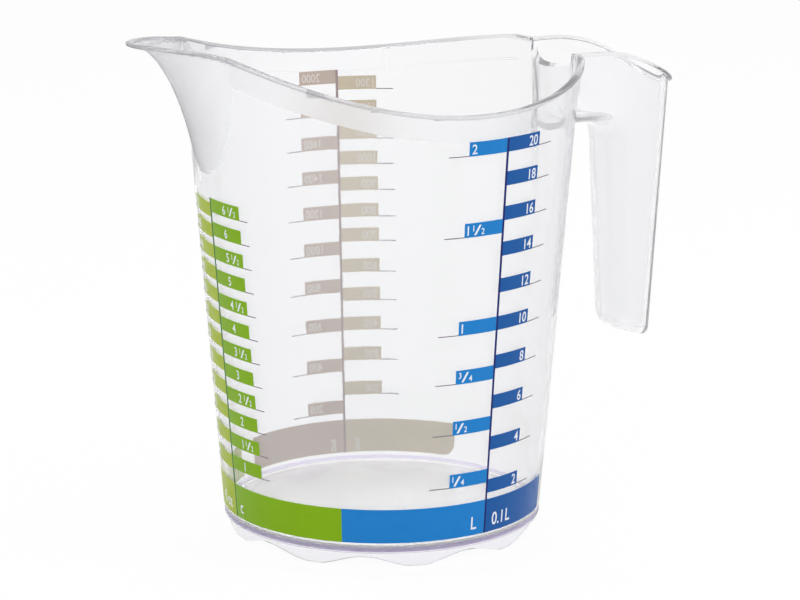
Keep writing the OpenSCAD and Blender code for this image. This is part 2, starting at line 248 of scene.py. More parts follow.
def funnel_point(z, side):
    """Funnel in plan: wall radius plus the ridge's stand-out times (1 - side squared) to a power
    that grows late from 1 at the bottom to 4 at the rim; the ridge leans out as a quarter
    ellipse, and the angle that it takes grows as a root of the height."""
    share = funnel_share(z)
    reach = SPOUT_REACH - BEAD_OUT - wall_r(SPOUT_TOP - BEAD_H)
    out = reach * (1 - np.sqrt(1 - share ** FUNNEL_LEAN))
    power = mix(FUNNEL_CREASE, FUNNEL_BELL, share ** FUNNEL_FLOW)
    r = (wall_r(z) - FUNNEL_SKIN
         + (out + FUNNEL_SKIN) * np.maximum(1 - side * side, 0) ** power)
    a = side * SPOUT_ANGLE * share ** FUNNEL_SPREAD
    return np.stack([-r * np.cos(a), r * np.sin(a)], -1)


def aside(run, length=1.0):
    """Vectors of a length in plan, square to each step of a path and to its right."""
    size = np.linalg.norm(run, axis=1)[:, None]
    return length * np.column_stack([run[:, 1], -run[:, 0]]) / size


def funnel(name, inset):
    """Funnel as rings that lie closer together towards the rim; inset moves each ring square to
    its plan, and down."""
    side = np.concatenate([np.linspace(0, 1, FUNNEL_COLS), np.linspace(-1, 0, FUNNEL_COLS)[:-1]])
    step = 0.02
    after, before = np.minimum(side + step, 1), np.maximum(side - step, -1)
    first = SPOUT_LOW + FUNNEL_LIFT * inset
    rise = 1 - (1 - np.arange(1, FUNNEL_ROWS + 1) / FUNNEL_ROWS) ** 2
    rings = []
    for z in [*(first + SPOUT_RISE * rise), CUT_H]:
        low = z - FUNNEL_LIFT * inset
        run = funnel_point(low, after) - funnel_point(low, before)
        p = funnel_point(low, side) + aside(run, inset)
        a = SPOUT_ANGLE * funnel_share(low) ** FUNNEL_SPREAD * FUNNEL_ROOT
        x, y = wall_r(z) * FUNNEL_ROOT * np.array([math.cos(a), math.sin(a)])
        plan = np.concatenate([p[:FUNNEL_COLS], [[-x, y], [-x, -y]], p[FUNNEL_COLS:]])
        rings.append(np.column_stack([plan, np.full(len(plan), z)]))
    return lofted(name, rings)


def grip_share(z):
    """How far up the handle a height is, from 0 at its lowest point to 1 at its rim."""
    return (np.asarray(z, float) - HANDLE_LOW) / (HANDLE_TOP - HANDLE_LOW)


def inner_face(z):
    """Distance of the grip's inner face: a straight line from the foot's to the rim's."""
    return mix(GRIP_FOOT_IN, GRIP_IN, grip_share(z))


def outer_face(z):
    """Distance of the grip's outer face: a straight line from the foot's to the rim's."""
    return mix(HANDLE_FOOT_REACH, HANDLE_REACH, grip_share(z))


def half_width(z):
    """Half of the grip's width: a straight line from the foot's to the rim's."""
    return mix(HANDLE_FOOT_HALF_W, HANDLE_HALF_W, grip_share(z))


def closing(side):
    """How far the grip's side view has closed on its middle line at a share of its half width:
    the fall of a superellipse."""
    return GRIP_CLOSE * (1 - (1 - np.abs(side) ** GRIP_POWER) ** (1 / GRIP_POWER))


def face_x(z, side, inset, close):
    """The grip's inner face, side -1, or outer face, side 1, set in and drawn to the middle."""
    face = inner_face(z) + inset if side < 0 else outer_face(z) - inset
    return mix(face, (inner_face(z) + outer_face(z)) / 2, close)


def grip_corner(side, inset, close):
    """Bottom corner of the grip, from its sloping lower side up to its inner or outer face: a
    quadratic curve that the sharp corner pulls."""
    low = HANDLE_LOW + inset + close * HANDLE_FOOT_HALF_W * HOOK_LIFT
    inner_x, outer_x = face_x(low, -1, inset, close), face_x(low, 1, inset, close)
    r = (outer_x - inner_x) * HOOK_CORNER
    x = inner_x if side < 0 else outer_x
    z = low + (HOOK_SLOPE * (outer_x - inner_x) if side < 0 else 0)
    share = np.linspace(0, 1, HOOK_CORNER_STEPS + 1)[:, None]
    return bend(np.array([x - side * r, z + side * HOOK_SLOPE * r]), np.array([x, z]),
                np.array([face_x(z + r, side, inset, close), z + r]), share)


def hook_outline(inset, close):
    """Handle in side view: up the inner face, a quarter ellipse over the finger gap, a landing
    arc into the body, then back over the top and down the outer face."""
    spring = GAP_TOP - GAP_CORNER_R
    lift = GAP_CORNER_R * (1 + close * ARCH_LIFT) + inset
    arch_x = inner_face(spring) - GAP_CORNER_R
    landing_x = DISH_X + GAP_CORNER_R - OVERLAP * 2
    grip_x = face_x(spring, -1, inset, close)
    a = np.linspace(0, math.pi / 2, HOOK_ARCH_STEPS + 1)
    b = np.linspace(math.pi / 2, LANDING_END, HOOK_CORNER_STEPS + 1)
    inner_side = np.concatenate([
        grip_corner(-1, inset, close),
        np.column_stack([arch_x + (grip_x - arch_x) * np.cos(a), spring + lift * np.sin(a)]),
        np.column_stack([landing_x + (GAP_CORNER_R + inset) * np.cos(b),
                         spring + lift * np.sin(b)]),
        [[ROOT_X, spring + lift * math.sin(LANDING_END)]]])
    z = np.linspace(spring, CUT_H, HOOK_ARCH_STEPS + 1)
    lid_x = np.linspace(arch_x, landing_x, HOOK_CORNER_STEPS + 1)
    outer_side = np.concatenate([
        grip_corner(1, inset, close),
        np.column_stack([face_x(z, 1, inset, close), z]),
        np.column_stack([lid_x, np.full(len(lid_x), CUT_H)]),
        [[ROOT_X, CUT_H]]])
    return np.concatenate([inner_side, outer_side[::-1]])


def hook(name, inset):
    """Handle as side views at stations across its width, spaced as sines towards the flanks."""
    rings = []
    for k in range(-HOOK_STATIONS, HOOK_STATIONS + 1):
        side = math.sin(math.pi / 2 * k / HOOK_STATIONS)
        p = hook_outline(inset, closing(side))
        rings.append(np.column_stack([p[:, 0], (half_width(p[:, 1]) - inset) * side, p[:, 1]]))
    return lofted(name, rings)


def under_rim(name, drop):
    """All that lies under the rim's top surface, lowered by drop, as a side view drawn across."""
    lip_gap, droop_end, margin, below, half_width_of_cut = 0.5, 0.12, 4, -3, 110
    x = np.concatenate([lip_points()[::-1, 0],
                        np.linspace(-DISH_X + lip_gap, DROOP_X, SWEEP_STEPS)])
    turn = np.linspace(math.pi / 2, droop_end, DROOP_STEPS)
    droop = np.column_stack([DROOP_X + DROOP_R * np.cos(turn),
                             HANDLE_TOP - DROOP_R + DROOP_R * np.sin(turn)])
    top = np.concatenate([np.column_stack([x, top_z(x)]), droop[1:]])
    top[:, 1] -= drop
    handle_end, spout_end = top[-1, 0] + margin, -SPOUT_REACH - margin
    ends = [[handle_end, below], [spout_end, below], [spout_end, top[0, 1]]]
    return prism(name, np.concatenate([top, ends]), half_width_of_cut)


def sill(name):
    """Cut over the sill that parts the jug's hollow from the handle's: all above a line that
    rises by a set slope towards the handle, as wide as the handle's hollow."""
    high = CUT_H + 4 * OVERLAP
    reach = high - SILL_Z
    x = DISH_X - WALL
    outline = [[x - reach, SILL_Z - SILL_SLOPE * reach], [x + reach / SILL_SLOPE, high],
               [x - reach, high]]
    return prism(name, outline, HANDLE_HALF_W - WALL - OVERLAP)


def skirt(name):
    """Lobed foot: a thin ring whose lower edge is a cosine wave with a small flat per lobe."""
    edge_r, set_back = 0.35, 0.5
    a = math.pi - np.linspace(0, 2 * math.pi, SKIRT_STEPS, endpoint=False)
    wave = (1 - np.cos(FOOT_COUNT * (math.pi - a))) / 2
    low = np.maximum(FOOT_HOLLOW * ((1 + FOOT_FLAT) * wave - FOOT_FLAT), 0)
    top = np.full(SKIRT_STEPS, FOOT_H + FLOOR_T / 2)
    r = BASE_R - set_back
    foot_r = r - FOOT_DRAFT * (1 - low / FOOT_H)
    section = [(np.full(SKIRT_STEPS, r), top), (foot_r, low + edge_r), (foot_r - edge_r, low),
               (foot_r - WALL + edge_r, low), (foot_r - WALL, low + edge_r),
               (np.full(SKIRT_STEPS, r - WALL), top)]
    rings = np.stack([np.stack([q * np.cos(a), q * np.sin(a), z], -1) for q, z in section], 1)
    faces = grid_faces(SKIRT_STEPS, len(section), True, True)
    return mesh_object(name, rings.reshape(-1, 3), faces)


def bead(name, plan, height):
    """Rounded rim: a flat superellipse carried along the rim, its ends closed."""
    plan = np.asarray(plan, float)
    out = aside(np.gradient(plan, axis=0))
    t = np.linspace(0, 2 * math.pi, BEAD_STEPS, endpoint=False)
    across, upward = (size * np.sign(wave) * np.abs(wave) ** BEAD_POWER
                      for size, wave in ((BEAD_REACH, np.cos(t)), (BEAD_RISE, np.sin(t))))
    rings = np.stack([
        plan[:, None, 0] + out[:, None, 0] * across,
        plan[:, None, 1] + out[:, None, 1] * across,
        np.repeat((np.asarray(height) - BEAD_RISE)[:, None], BEAD_STEPS, 1) + upward], -1)
    return lofted(name, rings)


def settled(shape, guess):
    """Plan points of a rim whose plan depends on its own height: a few rounds of substitution,
    each going half of the way."""
    rounds = 12
    z = np.full(len(guess), RIM_LOW)
    for _ in range(rounds):
        p = shape(guess, z)
        z = 0.5 * z + 0.5 * top_z(p[:, 0])
    return p, top_z(p[:, 0])


def body_rim():
    """Outer plan of the body and spout at the rim, by angle from the handle round the spout."""
    joint_half_w, joint_r, stations, fine = HANDLE_HALF_W - 1.2, 74.4, 420, 401

    def shape(a, z):
        """At each angle the larger of the wall's radius and the funnel's."""
        sides = np.linspace(-1, 1, fine)
        out = []
        for angle, height, radius in zip(a, z, wall_r(z)):
            p = funnel_point(height, sides)
            turn = np.arctan2(p[:, 1], -p[:, 0])
            away = math.atan2(math.sin(angle), -math.cos(angle))
            out.append(max(radius, np.interp(away, turn, np.linalg.norm(p, axis=1), 0, 0)))
        return np.column_stack([np.array(out) * np.cos(a), np.array(out) * np.sin(a)])
    start = math.asin(joint_half_w / joint_r)
    return settled(shape, np.linspace(start, 2 * math.pi - start, stations))


def handle_rim():
    """Outer plan of the handle at the rim, from one joint with the body round to the other."""
    joint_x, flank_steps, round_steps = 70.5, 14, 90

    def shape(side, z):
        """Up to side 1 the grip's outer face, and from 1 to 2 its flank back to the joint."""
        s = np.clip(side, -1, 1)
        grip_x = face_x(z, 1, 0, closing(s))
        x = np.where(np.abs(side) > 1, mix(grip_x, joint_x, np.abs(side) - 1), grip_x)
        return np.column_stack([x, half_width(z) * s])
    turn = np.linspace(-math.pi / 2, math.pi / 2, round_steps)
    side = np.concatenate([np.linspace(-2, -1, flank_steps)[:-1], np.sin(turn),
                           np.linspace(1, 2, flank_steps)[1:]])
    return settled(shape, side)


def mark_faces(obj):
    """Face attributes for the finish and its painted shade and light, each a share from 0 to 1:
    rim, the bead, for painted shade and roughness, most on its lower half, less and less towards
    the handle;
    frost, the spout and the collar, where a face stands outside the plain taper;
    shade, the same faces for painted shade as they turn edge-on, fading to the spout's bottom;
    satin, the floor inside and, more weakly, the level faces over the finger gap: satin and
    painted lighter;
    level, faces that lie flat, apart from those of the bead, the spout and the collar; they get
    hardly any painted shade;
    floor_edge, the rim of the floor and, faintly, the skirt under it."""
    mesh = obj.data
    count = len(mesh.polygons)
    middle, normal = np.empty(count * 3), np.empty(count * 3)
    mesh.polygons.foreach_get("center", middle)
    mesh.polygons.foreach_get("normal", normal)
    x, y, z = (middle.reshape(-1, 3) / MM + [MIDDLE_X, 0, 0]).T
    out = np.hypot(x, y) - wall_r(z)
    under = top_z(x) - z
    # The bead's share carries painted shade: a dark grey line, strongest on its lower half.
    on_bead = under < BEAD_H * 1.1
    lower_half = np.clip(under / BEAD_H, 0.5, 1)
    from_handle = np.interp(x, [20, 50, 66], [1, 0.7, 0.3])
    flush, proud, fade_h, handle_start, flat_share = 0.02, 0.3, 18, 30, 0.4
    coated = (x < handle_start) & ~on_bead & (z > SPOUT_LOW)
    frost = np.where(coated, np.clip((out - flush) / proud, 0, 1), 0)
    # The spout's painted shade fades out towards its bottom.
    spout_fade = np.clip((z - SPOUT_LOW) / fade_h, 0, 1)
    # The floor inside and the faces over the finger gap are made satin and painted lighter, up to
    # pure white.
    inner_floor = (np.hypot(x, y) < BASE_R - WALL) & (np.abs(z - FLOOR_TOP) < FLOOR_T + 0.1)
    over_gap = (x > DISH_X - WALL) & (x < inner_face(z) - 0.5) & (
        np.abs(z - GAP_TOP + GAP_CORNER_R) < 1.6 * GAP_CORNER_R)
    lies_flat = (np.abs(normal[2::3]) > flat_share) & ~on_bead & (frost == 0)
    floor_rim = (np.abs(out) < 0.2) & (z > FLOOR_EDGE[0]) & (z < FLOOR_EDGE[1])
    on_skirt = z < FOOT_H - 0.1
    shares = {"rim": on_bead * lower_half * from_handle,
              "frost": frost,
              "shade": frost * spout_fade,
              "satin_and_painted_light": np.maximum(inner_floor, 0.6 * (over_gap & lies_flat)),
              "level": lies_flat,
              "floor_edge": np.maximum(floor_rim, 0.08 * on_skirt)}
    for name, share in shares.items():
        layer = mesh.attributes.new(name, "FLOAT", "FACE")
        layer.data.foreach_set("value", np.asarray(share, np.float32))


def moulding():
    """The whole clear moulding: outside forms joined, cut by the rim, hollowed and edged. The
    collar is two thin coats, so that its lower edge is soft."""
    crease = math.radians(38)
    body = body_cone("clear_jug_moulding", FOOT_H, CUT_H, 0)
    shell = combined(body, post("form", DISH_R), "DIFFERENCE")
    shell = combined(shell, funnel("form", 0), "UNION")
    shell = combined(shell, hook("form", 0), "UNION")
    for out, depth in ((COLLAR_OUT / 2, COLLAR_H + 0.4), (COLLAR_OUT, COLLAR_H - 0.2)):
        collar = body_cone("form", RIM_LOW - COLLAR_H - WALL, CUT_H, -out)
        shell = combined(shell, combined(collar, under_rim("cut", depth), "DIFFERENCE"), "UNION")
    shell = combined(shell, under_rim("form", BEAD_RISE), "INTERSECT")
    shell = combined(shell, skirt("form"), "UNION")
    inside = combined(body_inside("form"), post("cut", DISH_R + WALL), "DIFFERENCE")
    inside = combined(inside, funnel("form", WALL), "UNION")
    grip_hollow = combined(hook("form", WALL), post("cut", DISH_R), "INTERSECT")
    inside = combined(inside, grip_hollow, "UNION")
    inside = combined(inside, sill("form"), "UNION")
    shell = combined(shell, inside, "DIFFERENCE")
    for plan, height in (body_rim(), handle_rim()):
        inner = plan - aside(np.gradient(plan, axis=0), BEAD_INSET)
        shell = combined(shell, bead("form", inner, height), "UNION")
    mark_faces(shell)
    shell.data.shade_smooth()
    shell.data.set_sharp_from_angle(angle=crease)
    return shell


# Printed scales: places of the upright lines in degrees round the axis, and how far the ink and
# the numerals reach into and out of the wall in millimetres

MEASURE_LINE, CUP_LINE, BAKING_LINE = -74.6, -177.0, 81.0
INK_IN, INK_OUT, DIGIT_IN, DIGIT_OUT = -0.05, 0.08, -0.07, 0.12
HALF_LINE = math.degrees(LINE_W / 2 / float(wall_r(FULL_Z)))
FULL_R3, FLOOR_R3 = (float(wall_r(z) - WALL) ** 3 for z in (FULL_Z, FLOOR_TOP))
UNIT_RISE, UNIT_H, UNIT_SQUEEZE = 2.4, 5.2, 0.8


def fill_height(share):
    """Height at which the tapered body holds a share of its full mark, from its cone's volume."""
    cube = FLOOR_R3 + (FULL_R3 - FLOOR_R3) * share
    return FLOOR_TOP + (cube ** (1 / 3) - FLOOR_R3 ** (1 / 3)) / TAPER


def fill_heights(marks, full):
    """Heights of a scale's marks: each mark's share of what the scale reads at the full mark."""
    return [float(fill_height(m / full)) for m in marks]


def angle_of(length, z):
    """Degrees that a length takes on the wall at a height."""
    return math.degrees(length / float(wall_r(z)))


def on_wall(angle, z, depth):
    """Point at an angle and height, depth millimetres outside the tapered wall."""
    a = np.radians(angle)
    r = wall_r(z) + depth
    return np.stack([r * np.cos(a), r * np.sin(a), np.broadcast_to(z, r.shape)], -1)


def panel(start, end, low, high, corners=(0, 0)):
    """Thin sheet of ink on the wall between two angles and heights, as one closed shell.
    Its lower corners may be rounded: the lower edge rises as a quarter circle at either end."""
    strip, least = 1.5, 0.05
    span = abs(math.radians(end - start)) * float(wall_r((low + high) / 2))
    quarter = 1 - np.cos(np.linspace(0, math.pi / 2, 9))
    d = np.unique(np.concatenate(
        [np.linspace(0, span, max(int(span / strip), 1) + 1)]
        + [r * quarter for r in corners[:1] if r]
        + [span - r * quarter for r in corners[1:] if r]))
    lift = np.zeros(len(d))
    for r, away in zip(corners, (d, span - d)):
        if r:
            near = np.minimum(away, r)
            lift = np.maximum(lift, r - np.sqrt(np.maximum(r * r - (r - near) ** 2, 0)))
    angle = start + (end - start) * d / span
    lower = np.minimum(low + lift, high - least)
    upper = np.full(len(d), high)
    section = [on_wall(angle, z, depth) for z, depth in
               ((lower, INK_IN), (lower, INK_OUT), (upper, INK_OUT), (upper, INK_IN))]
    faces = [list(f) for f in grid_faces(len(d), 4, False, True)]
    faces += [[3, 2, 1, 0], [4 * len(d) - 4 + k for k in range(4)]]
    return np.stack(section, 1).reshape(-1, 3), faces


def letters(text, height, squeeze):
    """Flat closed letters from a text curve, cut into upright strips so that they can bend."""
    weight, thin, fineness, cap_height, strip = 0.008, 0.1, 4, 0.73, 1.0
    curve = bpy.data.curves.new("letters", "FONT")
    curve.body, curve.size, curve.offset, curve.extrude = text, 1, weight, thin
    curve.resolution_u = fineness
    holder = bpy.data.objects.new("letters", curve)
    bpy.context.scene.collection.objects.link(holder)
    mesh = bpy.data.meshes.new_from_object(
        holder.evaluated_get(bpy.context.evaluated_depsgraph_get()))
    bpy.data.objects.remove(holder)
    bm = bmesh.new()
    bm.from_mesh(mesh)
    bpy.data.meshes.remove(mesh)
    bmesh.ops.remove_doubles(bm, verts=bm.verts, dist=1e-5)
    scale = height / cap_height
    bmesh.ops.scale(bm, vec=(scale * squeeze, scale, 1), verts=bm.verts)
    xs = [v.co.x for v in bm.verts]
    for cut in np.arange(math.floor(min(xs)) + strip / 2, max(xs), strip):
        geometry = list(bm.verts) + list(bm.edges) + list(bm.faces)
        bmesh.ops.bisect_plane(bm, geom=geometry, plane_co=(cut, 0, 0), plane_no=(1, 0, 0))
    points = np.array([v.co[:] for v in bm.verts])
    faces = [[v.index for v in f.verts] for f in bm.faces]
    bm.free()
    points[:, 0] -= points[:, 0].min()
    return points, faces


def joined(shapes):
    """Points and faces of several shapes as one list each."""
    points, faces, count = [], [], 0
    for p, f in shapes:
        points.append(p)
        faces += [[k + count for k in face] for face in f]
        count += len(p)
    return np.concatenate(points), faces


def numeral(label, height, squeeze):
    """Number in one row; a part such as 1/2 is a small raised figure, a long slash and a small
    low figure."""
    word_gap, figure_gap, small_share, slash_width = 1.8, 0.12, 0.62, 2.2
    shapes, x = [], 0.0
    for word in label.split():
        row = [(word, height, squeeze, 0)]
        if "/" in word[1:]:
            over, under = word.split("/")
            small = small_share * height
            row = [(over, small, squeeze, height - small), ("/", height, slash_width * squeeze, 0),
                   (under, small, squeeze, 0)]
        for text, size, wide, y in row:
            p, f = letters(text, size, wide)
            shapes.append((p + [x, y, 0], f))
            x += p[:, 0].max() + figure_gap * (len(row) > 1)
        x += word_gap
    return joined(shapes)


def placed(label, angle, z, height, squeeze, align):
    """Numeral wrapped on the wall: each point's way along the row, over the wall's radius, turns
    it round the axis. align 0 starts at the angle, and 1 ends there."""
    points, faces = numeral(label, height, squeeze)
    shift = -points[:, 0].max() * align
    depth = np.where(points[:, 2] > 0, DIGIT_OUT, DIGIT_IN)
    heights = z + points[:, 1]
    r = wall_r(heights) + depth
    a = np.radians(angle) + (points[:, 0] + shift) / wall_r(z)
    return np.stack([r * np.cos(a), r * np.sin(a), heights], -1), faces


def scale_print(name, node, line, turn, has_line, band_angle, bar, heights, labels, spot,
                unit, corners=(0, 0)):
    """One scale: bars beside an upright line, each with a fine mark at its foot and a numeral,
    over a printed band. turn is 1 or -1, the side of the line on which the bars lie; bar holds
    the lengths of a bar and its mark; spot is the numeral's place along the bar, its alignment,
    height and squeeze; unit is the band's word, its distance from the line and its alignment."""
    film, figure, fine, upright = range(4)
    bar_len, tick_len = bar
    along, align, figure_h, squeeze = spot
    parts = []

    def side(a, b):
        """Two angles on the bars' side of the line, in rising order."""
        return sorted((line + turn * a, line + turn * b))

    if has_line:
        top = heights[-1] + BAR_H
        parts.append((panel(line - HALF_LINE, line + HALF_LINE, BAND_LOW, top), upright))
    band = panel(*side(HALF_LINE, band_angle), BAND_LOW, BAND_LOW + BAND_H, corners)
    parts.append((band, film))
    for z, label in zip(heights, labels):
        end = HALF_LINE + angle_of(bar_len, z)
        parts.append((panel(*side(HALF_LINE, end), z, z + BAR_H), film))
        tick_end = end + angle_of(tick_len, z)
        parts.append((panel(*side(end, tick_end), z, z + TICK_H), fine))
        a = line + turn * (HALF_LINE + angle_of(along * bar_len, z))
        low = z + (BAR_H - figure_h) / 2
        parts.append((placed(label, a, low, figure_h, squeeze, align), figure))
    word, distance, align = unit
    a = line + turn * angle_of(distance, BAND_LOW)
    parts.append((placed(word, a, BAND_LOW + UNIT_RISE, UNIT_H, UNIT_SQUEEZE, align), figure))
    obj = mesh_object(name, *joined([shape for shape, _ in parts]))
    figures = PALE_INK if line == BAKING_LINE else WHITE_INK
    for made in (INKS[name], figures, FINE_INK, LINE_INKS.get(name, FINE_INK)):
        obj.data.materials.append(made)
    obj.data.polygons.foreach_set(
        "material_index", [k for shape, k in parts for _ in shape[1]])
    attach(obj, "root")
    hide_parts(node)


# Materials

def node(tree, kind, **values):
    """New node with the inputs or settings that are named."""
    made = tree.nodes.new(kind)
    for key, value in values.items():
        if key in made.inputs:
            made.inputs[key].default_value = value
        else:
            setattr(made, key, value)
    return made


def calc(tree, operation, *values):
    """Output of a Math node over sockets and plain numbers."""
    made = node(tree, "ShaderNodeMath", operation=operation)
    for socket, value in zip(made.inputs, values):
        if isinstance(value, float):
            socket.default_value = value
        else:
            tree.links.new(value, socket)
    return made.outputs[0]


def colour_mix(tree, factor, first, second):
    """Output that goes from the first colour, or a socket that gives one, to the second."""
    made = node(tree, "ShaderNodeMix", data_type="RGBA", B=(*second, 1))
    tree.links.new(factor, made.inputs["Factor"])
    if isinstance(first, tuple):
        made.inputs["A"].default_value = (*first, 1)
    else:
        tree.links.new(first, made.inputs["A"])
    return made.outputs["Result"]


def shader_mix(tree, factor, first, second):
    """Output that goes from the first shader to the second."""
    made = node(tree, "ShaderNodeMixShader")
    for socket, value in zip(made.inputs, (factor, first, second)):
        tree.links.new(value, socket)
    return made.outputs[0]


def moulded_skin():
    """Handled, moulded surface: slow flow waves, a fine grain and faint wipe marks.
    Puts out a roughness, a bump height and a 0 to 1 mask of the wiped patches."""
    tree = bpy.data.node_groups.new("Moulded skin", "ShaderNodeTree")
    for label, start in (("Roughness", 0.05), ("Roughness spread", 0.03), ("Scale", 1.0)):
        made = tree.interface.new_socket(label, in_out="INPUT", socket_type="NodeSocketFloat")
        made.default_value = start
    for label in ("Roughness", "Height", "Patches"):
        tree.interface.new_socket(label, in_out="OUTPUT", socket_type="NodeSocketFloat")
    given, out = node(tree, "NodeGroupInput"), node(tree, "NodeGroupOutput")
    place = node(tree, "ShaderNodeTexCoord")
    sized = node(tree, "ShaderNodeVectorMath", operation="SCALE")
    tree.links.new(place.outputs["Object"], sized.inputs[0])
    tree.links.new(given.outputs["Scale"], sized.inputs["Scale"])
    flow = node(tree, "ShaderNodeTexNoise", Scale=22.0, Detail=2.0, Roughness=0.4)
    grain = node(tree, "ShaderNodeTexNoise", Scale=900.0, Detail=3.0, Roughness=0.6)
    wipe = node(tree, "ShaderNodeTexNoise", Scale=60.0, Detail=5.0, Roughness=0.65, Distortion=1.2)
    for texture in (flow, grain, wipe):
        tree.links.new(sized.outputs[0], texture.inputs["Vector"])
    patch = node(tree, "ShaderNodeMapRange", interpolation_type="SMOOTHSTEP")
    patch.inputs["From Min"].default_value, patch.inputs["From Max"].default_value = 0.45, 0.72
    tree.links.new(wipe.outputs["Fac"], patch.inputs["Value"])
    patches, grain_share = patch.outputs["Result"], 0.06
    rough = calc(tree, "MULTIPLY_ADD", patches, given.outputs["Roughness spread"],
                 given.outputs["Roughness"])
    height = calc(tree, "MULTIPLY_ADD", grain.outputs["Fac"], grain_share, flow.outputs["Fac"])
    for label, value in (("Roughness", rough), ("Height", height), ("Patches", patches)):
        tree.links.new(value, out.inputs[label])
    return tree


SKIN = moulded_skin()


def material(name, colour, transmission=0.0, ior=1.5, roughness=0.05, spread=0.03, bump=0.1,
             distance=0.0002, scale=1.0):
    """Principled material whose roughness and bump come from the moulded skin group."""
    made = bpy.data.materials.new(name)
    made.use_nodes = True
    tree = made.node_tree
    shader = tree.nodes["Principled BSDF"]
    skin = node(tree, "ShaderNodeGroup", node_tree=SKIN)
    for owner, label, value in (
            (shader, "Base Color", (*colour, 1)), (shader, "Transmission Weight", transmission),
            (shader, "IOR", ior), (skin, "Roughness", roughness),
            (skin, "Roughness spread", spread), (skin, "Scale", scale)):
        owner.inputs[label].default_value = value
    bumped = node(tree, "ShaderNodeBump", Strength=bump, Distance=distance)
    tree.links.new(skin.outputs["Height"], bumped.inputs["Height"])
    tree.links.new(skin.outputs["Roughness"], shader.inputs["Roughness"])
    tree.links.new(bumped.outputs["Normal"], shader.inputs["Normal"])
    return made, tree, shader, skin


def srgb(r, g, b):
    """Linear colour from screen values of 0 to 255, by the standard screen curve."""
    return tuple(((c / 255 + 0.055) / 1.055) ** 2.4 if c > 10 else c / 255 / 12.92
                 for c in (r, g, b))


def plastic():
    """Clear moulding: faintly violet, with painted shade that greys the bead and the faces that
    turn edge-on, darkest on the spout's edges and faint all over the spout and the collar; matt on
    the spout, the collar and the bead, satin and painted lighter, up to pure white, on the floor
    and over the finger gap, and deeper at the floor's edge, which gathers the light. Faces that
    lie flat get hardly any painted shade and are hardly bumped. Lamps shine through it as through
    a thin sheet."""
    bump = 0.12
    made, tree, shader, skin = material(
        "clear plastic", (0.96, 0.96, 0.975), transmission=0.9, ior=1.3, roughness=0.02,
        spread=0.03, bump=bump, distance=0.0006)
    marks = {name: node(tree, "ShaderNodeAttribute", attribute_name=name).outputs["Fac"]
             for name in ("frost", "shade", "rim", "satin_and_painted_light", "level", "floor_edge")}
    # Painted shade: the colour greys where the surface turns edge-on to the view, but hardly on
    # flat faces.
    turned = node(tree, "ShaderNodeLayerWeight", Blend=0.35)
    edge_on = calc(tree, "POWER", turned.outputs["Facing"], 2.0)
    uneven = calc(tree, "MULTIPLY_ADD", marks["level"], -0.95, 1.0)
    # Painted shade: the spout and the collar go dark grey as they turn edge-on.
    painted_spout_shade = calc(tree, "MULTIPLY", marks["shade"], edge_on)
    painted_edge_shade = calc(tree, "MULTIPLY", uneven, edge_on)
    tree.links.new(calc(tree, "MULTIPLY", uneven, bump), tree.nodes["Bump"].inputs["Strength"])
    # Painted shade: faint grey on frosted faces, grey edge-on, dark on the spout's edges and the
    # bead; painted light: white floor.
    painted_shade_and_tints = [(marks["frost"], (0.96, 0.96, 0.97), 1.0),
             (painted_edge_shade, (0.76, 0.76, 0.79), 1.1),
             (painted_spout_shade, (0.36, 0.36, 0.38), 1.4),
             (marks["satin_and_painted_light"], (1.0, 1.0, 1.0), 1.0),
             (marks["rim"], (0.40, 0.40, 0.43), 1.0),
             (marks["floor_edge"], (0.60, 0.50, 0.84), 1.0)]
    tone = (0.965, 0.965, 0.972)
    for mask, tint, amount in painted_shade_and_tints:
        tone = colour_mix(tree, calc(tree, "MULTIPLY", mask, amount), tone, tint)
    tree.links.new(tone, shader.inputs["Base Color"])
    rough = skin.outputs["Roughness"]
    for name, amount in (("frost", 0.5), ("rim", 0.3), ("satin_and_painted_light", 0.2), ("floor_edge", 0.4)):
        rough = calc(tree, "MULTIPLY_ADD", marks[name], amount, rough)
    tree.links.new(rough, shader.inputs["Roughness"])
    path = node(tree, "ShaderNodeLightPath")
    lamp_ray = calc(tree, "MAXIMUM", path.outputs["Is Shadow Ray"], path.outputs["Is Diffuse Ray"])
    through = node(tree, "ShaderNodeBsdfTransparent", Color=(0.93, 0.93, 0.94, 1))
    seen = shader_mix(tree, lamp_ray, shader.outputs[0], through.outputs[0])
    tree.links.new(seen, tree.nodes["Material Output"].inputs["Surface"])
    return made


def ink(name, colour, worn=0.93):
    """Matt ink film that drifts to a share of its own tone over the skin's patches."""
    made, tree, shader, skin = material(name, colour, roughness=0.32, spread=0.12, bump=0.15,
                                        distance=0.00005, scale=2.0)
    shader.inputs["Specular IOR Level"].default_value = 0.15
    drift = calc(tree, "MULTIPLY", skin.outputs["Patches"], 0.6)
    tone = colour_mix(tree, drift, colour, tuple(c * worn for c in colour))
    tree.links.new(tone, shader.inputs["Base Color"])
    return made


INKS = {
    "litre_scale": ink("light blue ink", srgb(24, 122, 194)),
    "decilitre_scale": ink("dark blue ink", srgb(16, 84, 154)),
    "cup_scale": ink("green ink", srgb(124, 168, 6)),
    "ounce_scale": ink("lime ink", srgb(160, 180, 4)),
    "sugar_scale": ink("brown ink", srgb(190, 169, 154)),
    "flour_scale": ink("beige ink", srgb(202, 187, 158)),
}
WHITE_INK = ink("white numeral ink", srgb(228, 232, 238), 0.97)
PALE_INK = ink("pale numeral ink", srgb(220, 212, 204), 0.97)
FINE_INK = ink("grey fine mark ink", srgb(120, 112, 124), 0.9)
LINE_INKS = {
    "decilitre_scale": ink("navy line ink", srgb(18, 34, 104)),
    "cup_scale": ink("deep green line ink", srgb(20, 100, 50)),
    "sugar_scale": ink("brown line ink", srgb(150, 126, 124)),
}
CLEAR = plastic()


# Studio

